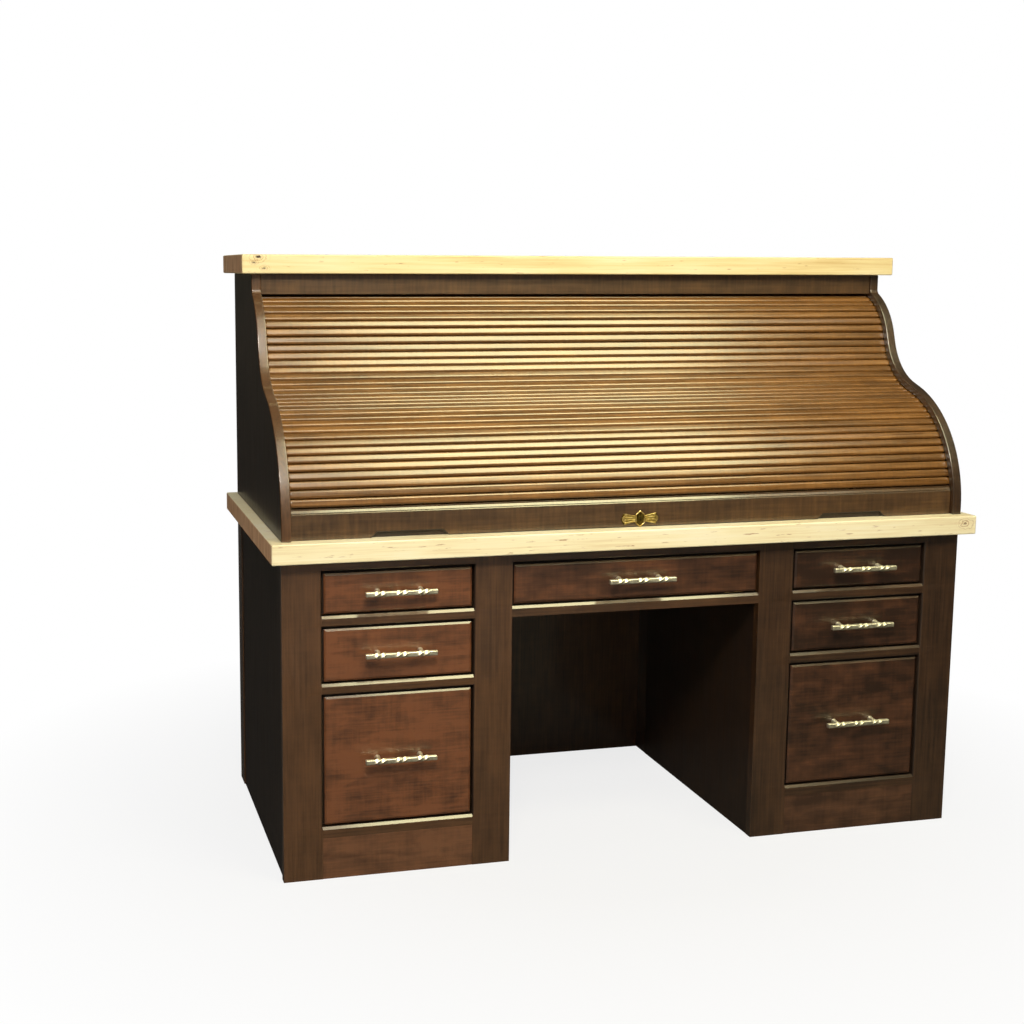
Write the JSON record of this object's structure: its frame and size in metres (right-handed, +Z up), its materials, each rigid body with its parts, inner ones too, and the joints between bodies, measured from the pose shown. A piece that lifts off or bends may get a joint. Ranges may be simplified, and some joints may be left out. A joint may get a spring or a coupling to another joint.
{
  "type": "roll-top desk",
  "caption": "Pedestal roll-top desk with an S-curved tambour, a locking lift rail, inset drawers with twisted bar pulls, and thick pale slabs for its desktop and top.",
  "frame": {"origin": "on the floor, under the middle of the desktop slab", "axes": "+X along the width to the sitter's right, +Y towards the back, +Z up"},
  "size_m": [1.676, 0.762, 1.36],
  "materials": {
    "pale_maple": "satin clear lacquer",
    "dark_maple": "dark stain under satin lacquer",
    "drawer_maple": "red-brown stain under satin lacquer",
    "slat_maple": "brown stain under satin lacquer",
    "inner_maple": "clear sealed",
    "gallery_maple": "dark stain under satin lacquer",
    "nickel": "satin nickel",
    "old_brass": "aged brass",
    "lock_steel": "plain steel"
  },
  "bodies": {
    "desk": {"desktop": "pale_maple", "left_outer_side": "dark_maple", "right_outer_side": "dark_maple", "left_knee_side": "dark_maple", "right_knee_side": "dark_maple", "rear_posts": "dark_maple", "back_panel": "dark_maple", "left_face_frame": "dark_maple", "right_face_frame": "dark_maple", "knee_rails": "dark_maple", "kick_boards": "dark_maple", "pedestal_bottoms": "inner_maple", "left_runners": "inner_maple", "right_runners": "inner_maple", "centre_runners": "inner_maple", "left_roll_end": "dark_maple", "right_roll_end": "dark_maple", "upper_slab": "pale_maple", "header_rail": "dark_maple", "upper_back": "dark_maple", "gallery_case": "gallery_maple", "gallery_dividers": "gallery_maple", "gallery_back": "gallery_maple", "strike_plate": "old_brass"},
    "roll": {"lift_rail": "dark_maple", "escutcheon": "old_brass", "lock_case": "lock_steel"},
    "plug": {"lock_plug": "old_brass"},
    "bolt": {"lock_bolt": "lock_steel"},
    "slats_1": {"tambour_slats_1": "slat_maple"},
    "slats_2": {"tambour_slats_2": "slat_maple"},
    "slats_3": {"tambour_slats_3": "slat_maple"},
    "slats_4": {"tambour_slats_4": "slat_maple"},
    "slats_5": {"tambour_slats_5": "slat_maple"},
    "slats_6": {"tambour_slats_6": "slat_maple"},
    "slats_7": {"tambour_slats_7": "slat_maple"},
    "slats_8": {"tambour_slats_8": "slat_maple"},
    "slats_9": {"tambour_slats_9": "slat_maple"},
    "left_top_drawer": {"left_top_front": "drawer_maple", "left_top_box": "inner_maple", "left_top_pull": "nickel"},
    "left_middle_drawer": {"left_middle_front": "drawer_maple", "left_middle_box": "inner_maple", "left_middle_pull": "nickel"},
    "left_file_drawer": {"left_file_front": "drawer_maple", "left_file_box": "inner_maple", "left_file_pull": "nickel"},
    "right_top_drawer": {"right_top_front": "drawer_maple", "right_top_box": "inner_maple", "right_top_pull": "nickel"},
    "right_middle_drawer": {"right_middle_front": "drawer_maple", "right_middle_box": "inner_maple", "right_middle_pull": "nickel"},
    "right_file_drawer": {"right_file_front": "drawer_maple", "right_file_box": "inner_maple", "right_file_pull": "nickel"},
    "centre_drawer": {"centre_front": "drawer_maple", "centre_box": "inner_maple", "centre_pull": "nickel"}
  },
  "joints": [
    {"name": "left_top_slide", "type": "slide", "parent": "desk", "child": "left_top_drawer", "axis": [0, -1, 0], "range_m": [0, 0.42]},
    {"name": "left_middle_slide", "type": "slide", "parent": "desk", "child": "left_middle_drawer", "axis": [0, -1, 0], "range_m": [0, 0.42]},
    {"name": "left_file_slide", "type": "slide", "parent": "desk", "child": "left_file_drawer", "axis": [0, -1, 0], "range_m": [0, 0.42]},
    {"name": "right_top_slide", "type": "slide", "parent": "desk", "child": "right_top_drawer", "axis": [0, -1, 0], "range_m": [0, 0.42]},
    {"name": "right_middle_slide", "type": "slide", "parent": "desk", "child": "right_middle_drawer", "axis": [0, -1, 0], "range_m": [0, 0.42]},
    {"name": "right_file_slide", "type": "slide", "parent": "desk", "child": "right_file_drawer", "axis": [0, -1, 0], "range_m": [0, 0.42]},
    {"name": "centre_slide", "type": "slide", "parent": "desk", "child": "centre_drawer", "axis": [0, -1, 0], "range_m": [0, 0.32]},
    {"name": "roll_lift", "type": "hinge", "parent": "desk", "child": "roll", "pos_m": [0, 0.4056, 0.53941], "axis": [-1, 0, 0], "range_deg": [0, 41.49], "deforming": ["tambour_slats_1", "tambour_slats_2", "tambour_slats_3", "tambour_slats_4", "tambour_slats_5", "tambour_slats_6", "tambour_slats_7", "tambour_slats_8", "tambour_slats_9"]},
    {"name": "slats_1_run", "type": "hinge", "parent": "desk", "child": "slats_1", "pos_m": [0, 0.28562, 0.65314], "axis": [-1, 0, 0], "range_deg": [0, 51.95]},
    {"name": "slats_2_run", "type": "hinge", "parent": "desk", "child": "slats_2", "pos_m": [0, 0.26972, 0.67094], "axis": [-1, 0, 0], "range_deg": [0, 53.89]},
    {"name": "slats_3_run", "type": "hinge", "parent": "desk", "child": "slats_3", "pos_m": [0, 0.42343, 0.44762], "axis": [-1, 0, 0], "range_deg": [0, 37.23]},
    {"name": "slats_4_run", "type": "hinge", "parent": "desk", "child": "slats_4", "pos_m": [0, 0.25647, 0.74568], "axis": [-1, 0, 0], "range_deg": [0, 61.37]},
    {"name": "slats_5_run", "type": "hinge", "parent": "desk", "child": "slats_5", "pos_m": [0, 0.15104, 0.99907], "axis": [-1, 0, 0], "range_deg": [0, 121.75]},
    {"name": "slats_6_run", "type": "hinge", "parent": "desk", "child": "slats_6", "pos_m": [0, 0.14154, 1.04992], "axis": [-1, 0, 0], "range_deg": [0, 147.6]},
    {"name": "slats_7_run", "type": "hinge", "parent": "desk", "child": "slats_7", "pos_m": [0, 0.1445, 1.06464], "axis": [-1, 0, 0], "range_deg": [0, 157.02]},
    {"name": "slats_8_run", "type": "hinge", "parent": "desk", "child": "slats_8", "pos_m": [0, 0.11474, 1.02109], "axis": [-1, 0, 0], "range_deg": [0, 128.8]},
    {"name": "slats_9_run", "type": "hinge", "parent": "desk", "child": "slats_9", "pos_m": [0, 0.04995, 0.97201], "axis": [-1, 0, 0], "range_deg": [0, 98.54]},
    {"name": "lock_turn", "type": "hinge", "parent": "roll", "child": "plug", "pos_m": [0, -0.343, 0.7753], "axis": [0, -1, 0], "range_deg": [0, 90]},
    {"name": "bolt_throw", "type": "slide", "parent": "roll", "child": "bolt", "axis": [0, 0, -1], "range_m": [0, 0.0091]}
  ],
  "couplings": [
    {"joint": "slats_1_run", "follows": "roll_lift", "ratio": 1.2516},
    {"joint": "slats_2_run", "follows": "roll_lift", "ratio": 1.2983},
    {"joint": "slats_3_run", "follows": "roll_lift", "ratio": 0.89692},
    {"joint": "slats_4_run", "follows": "roll_lift", "ratio": 1.4786},
    {"joint": "slats_5_run", "follows": "roll_lift", "ratio": 2.934},
    {"joint": "slats_6_run", "follows": "roll_lift", "ratio": 3.5571},
    {"joint": "slats_7_run", "follows": "roll_lift", "ratio": 3.784},
    {"joint": "slats_8_run", "follows": "roll_lift", "ratio": 3.1039},
    {"joint": "slats_9_run", "follows": "roll_lift", "ratio": 2.3746},
    {"joint": "bolt_throw", "follows": "lock_turn", "m_per_rad": 0.0057296}
  ]
}
